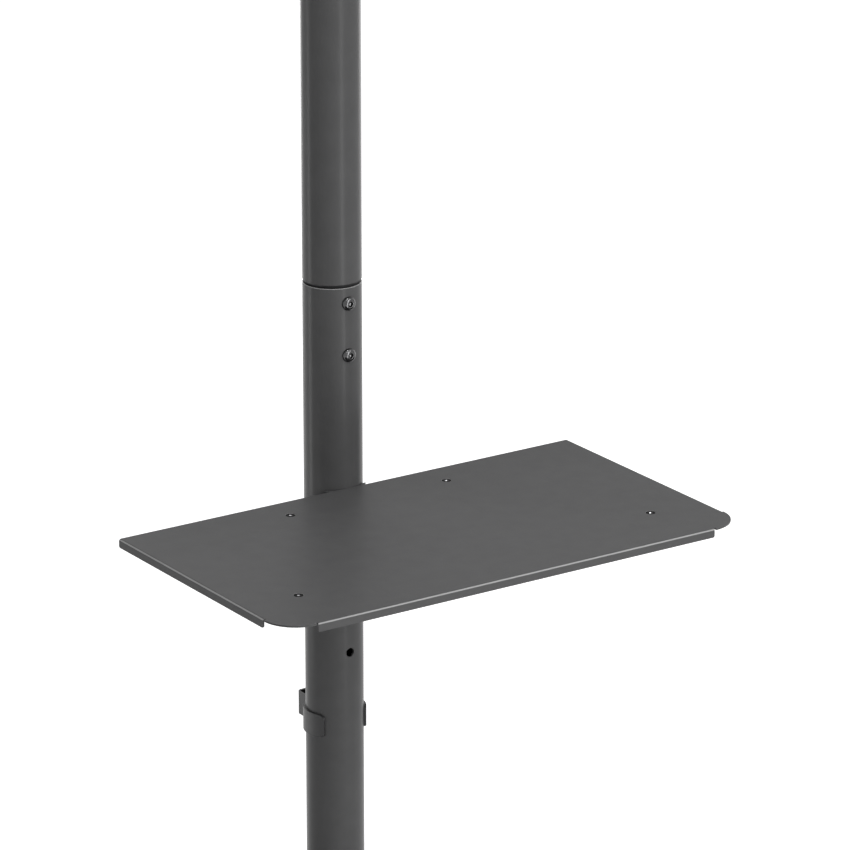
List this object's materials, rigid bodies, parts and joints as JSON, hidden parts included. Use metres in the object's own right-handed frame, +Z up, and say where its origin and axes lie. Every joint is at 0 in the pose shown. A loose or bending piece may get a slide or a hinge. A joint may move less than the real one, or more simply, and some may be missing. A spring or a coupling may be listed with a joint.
{
  "type": "television floor stand",
  "caption": "Free-standing floor stand for a television: folded steel base, round two-part pole, height-set shelf, swivelling and tilting screen bracket.",
  "frame": {"origin": "middle of the base's footprint, on the floor", "axes": "+Z up, -Y towards the viewer and the screen side, +X to the viewer's right; the pole's axis is 85 mm behind the origin"},
  "size_m": [0.7, 0.46, 1.56],
  "materials": {
    "powder_coat": "satin dark grey powder coat",
    "bracket_coat": "satin dark grey powder coat",
    "black_plastic": "satin moulded plastic",
    "nylon": "plain nylon",
    "foot_rubber": "matt rubber",
    "black_screw": "black oxide, semi-gloss",
    "zinc_steel": "zinc plated"
  },
  "bodies": {
    "stand": {"base_plate": "powder_coat", "base_stiffener": "bracket_coat", "base_feet": "foot_rubber", "foot_screws": "zinc_steel", "tube_foot": "bracket_coat", "base_washers": "zinc_steel", "base_bolts": "zinc_steel", "foot_trim": "black_plastic", "lower_tube": "powder_coat", "upper_tube": "powder_coat", "joint_screws": "black_screw", "joint_nut_bar": "zinc_steel", "pole_cap": "black_plastic", "cable_clip_upper": "black_plastic", "cable_clip_lower": "black_plastic"},
    "shelf": {"shelf_plate": "powder_coat", "shelf_bracket": "bracket_coat", "shelf_arm_left": "bracket_coat", "shelf_arm_right": "bracket_coat", "shelf_screws": "black_screw", "shelf_nuts": "zinc_steel", "shelf_strap": "bracket_coat", "shelf_clamp_bolts": "black_screw", "shelf_clamp_nuts": "zinc_steel"},
    "carriage": {"height_collar": "bracket_coat", "collar_screw": "black_screw", "collar_nut": "zinc_steel", "thrust_washer": "nylon", "swivel_stop_pin": "zinc_steel"},
    "swivel_head": {"swivel_sleeve": "bracket_coat", "swivel_bush_upper": "nylon", "swivel_bush_lower": "nylon", "swivel_lock_screw": "black_screw"},
    "tilt_head": {"tilt_bracket": "bracket_coat", "tilt_washers": "nylon", "tilt_bolts": "black_screw", "tilt_nuts": "zinc_steel", "tilt_lock_screws": "black_screw", "tilt_lock_nuts": "zinc_steel", "screen_plate": "powder_coat", "plate_bolts": "black_screw", "plate_nuts": "zinc_steel", "rail_upper": "powder_coat", "rail_lower": "powder_coat", "rail_bolts": "black_screw", "rail_nuts": "zinc_steel", "rail_caps": "black_plastic", "screen_arm_left": "powder_coat", "screen_arm_right": "powder_coat", "arm_lock_screws": "black_screw", "arm_lock_nuts": "zinc_steel"}
  },
  "joints": [
    {"name": "shelf_height", "type": "slide", "parent": "stand", "child": "shelf", "axis": [0, 0, 1], "range_m": [-0.135, 0]},
    {"name": "mount_height", "type": "slide", "parent": "stand", "child": "carriage", "axis": [0, 0, 1], "range_m": [-0.25, 0.05]},
    {"name": "mount_swivel", "type": "hinge", "parent": "carriage", "child": "swivel_head", "pos_m": [0, 0.085, 1.34], "axis": [0, 0, 1], "range_deg": [-30, 30]},
    {"name": "screen_tilt", "type": "hinge", "parent": "swivel_head", "child": "tilt_head", "pos_m": [0, 0.01997, 1.34], "axis": [1, 0, 0], "range_deg": [-5, 15]}
  ]
}
